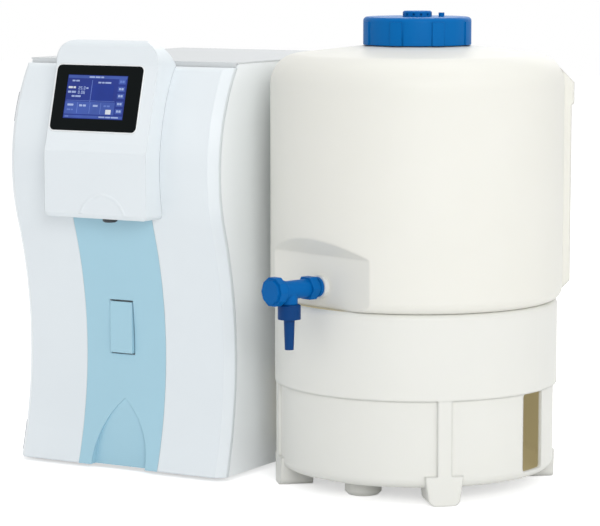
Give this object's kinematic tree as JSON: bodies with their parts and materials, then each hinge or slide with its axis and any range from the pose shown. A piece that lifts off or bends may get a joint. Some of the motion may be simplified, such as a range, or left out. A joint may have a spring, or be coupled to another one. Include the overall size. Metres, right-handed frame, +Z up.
{
  "type": "ultrapure water system",
  "caption": "Bench water purifier: a cabinet with a hinged S-curved front, display head and press paddle, beside a round storage tank with tap, screw cap and stand.",
  "frame": {"origin": "under the middle of the whole set, on the bench", "axes": "+Z up, the fronts of cabinet and tank towards -Y, the tank on the +X side of the cabinet"},
  "size_m": [0.6756, 0.4926, 0.5705],
  "materials": {
    "cabinet_paint": "satin light grey-white paint",
    "bare_sheet": "zinc-grey sheet",
    "foot_rubber": "matt",
    "hinge_steel": "brushed",
    "white_plastic": "smooth, slightly glossy",
    "blue_inlay": "smooth pale blue",
    "black_gloss": "glossy black",
    "screen": "lit blue screen",
    "board_green": "circuit board",
    "grey_plastic": "matt",
    "dark_plastic": "matt",
    "filter_white": "matt",
    "tube_clear": "milky tubing",
    "stainless": "satin stainless steel",
    "cast_alloy": "dark cast alloy",
    "supply_alloy": "plain sheet alloy",
    "tank_ivory": "smooth moulded, ivory",
    "cap_blue": "smooth deep blue",
    "tap_blue": "smooth deep blue",
    "seal_grey": "soft",
    "seal_white": "soft, white"
  },
  "bodies": {
    "frame": {"base_tray": "bare_sheet", "cabinet_feet": "foot_rubber", "side_panel_left": "cabinet_paint", "side_panel_right": "cabinet_paint", "top_panel": "cabinet_paint", "rear_panel": "cabinet_paint", "mid_plate": "bare_sheet", "hinge_frame_leaves": "hinge_steel", "hinge_pins": "hinge_steel", "door_catch": "dark_plastic", "pretreat_cartridge": "filter_white", "membrane_housing": "filter_white", "polish_cartridge": "filter_white", "cartridge_clips": "hinge_steel", "uv_chamber": "stainless", "uv_clips": "dark_plastic", "dispense_valve": "dark_plastic", "tube_feed": "tube_clear", "tube_permeate": "tube_clear", "tube_polished": "tube_clear", "tube_product": "tube_clear", "booster_pump": "cast_alloy", "power_supply": "supply_alloy", "control_board": "board_green", "mains_inlet": "dark_plastic", "switch_frame": "dark_plastic", "water_ports": "grey_plastic", "fan_frame": "dark_plastic", "tank_shell": "tank_ivory", "tap_gasket": "seal_white", "tap_body": "tap_blue", "tap_back_nut": "tap_blue", "tap_spout": "tap_blue", "tank_stand": "tank_ivory"},
    "door": {"door_shell": "white_plastic", "door_inlay": "blue_inlay", "pod_shell": "white_plastic", "display_bezel": "black_gloss", "display_screen": "screen", "display_board": "board_green", "outlet_nozzle": "grey_plastic", "final_filter": "filter_white", "paddle_pin": "hinge_steel", "hinge_door_leaves": "hinge_steel", "door_strike": "hinge_steel"},
    "paddle": {"paddle": "blue_inlay"},
    "tap_handle": {"tap_knob": "tap_blue"},
    "seal": {"cap_seal": "seal_grey"},
    "screw_cap": {"cap": "cap_blue", "cap_vent": "cap_blue"},
    "rocker": {"rear_switch": "dark_plastic"},
    "fan": {"fan_rotor": "dark_plastic"}
  },
  "joints": [
    {"name": "door_hinge", "type": "hinge", "parent": "frame", "child": "door", "pos_m": [-0.3343, -0.12331, 0], "axis": [0, 0, -1], "range_deg": [0, 110]},
    {"name": "paddle_press", "type": "hinge", "parent": "door", "child": "paddle", "pos_m": [-0.1833, -0.13911, 0.204], "axis": [1, 0, 0], "range_deg": [0, 4], "stiffness_Nm_per_rad": 1, "springref_deg": -1.72},
    {"name": "tap_turn", "type": "hinge", "parent": "frame", "child": "tap_handle", "pos_m": [0.1611, -0.01573, 0.2505], "axis": [-0.309, -0.9511, 0], "range_deg": [0, 90]},
    {"name": "cap_lift", "type": "slide", "parent": "frame", "child": "seal", "axis": [0, 0, 1], "range_m": [0, 0.015]},
    {"name": "cap_turn", "type": "hinge", "parent": "seal", "child": "screw_cap", "pos_m": [0.1611, -0.01573, 0.54], "axis": [0, 0, 1], "range_deg": [0, 899]},
    {"name": "switch_rock", "type": "hinge", "parent": "frame", "child": "rocker", "pos_m": [-0.1188, 0.23227, 0.05], "axis": [1, 0, 0], "range_deg": [-10, 0]},
    {"name": "fan_spin", "type": "hinge", "parent": "frame", "child": "fan", "pos_m": [-0.2388, 0.21927, 0.3], "axis": [0, 1, 0], "continuous": true}
  ],
  "couplings": [
    {"joint": "cap_lift", "follows": "cap_turn", "m_per_rad": 0.00095493}
  ]
}
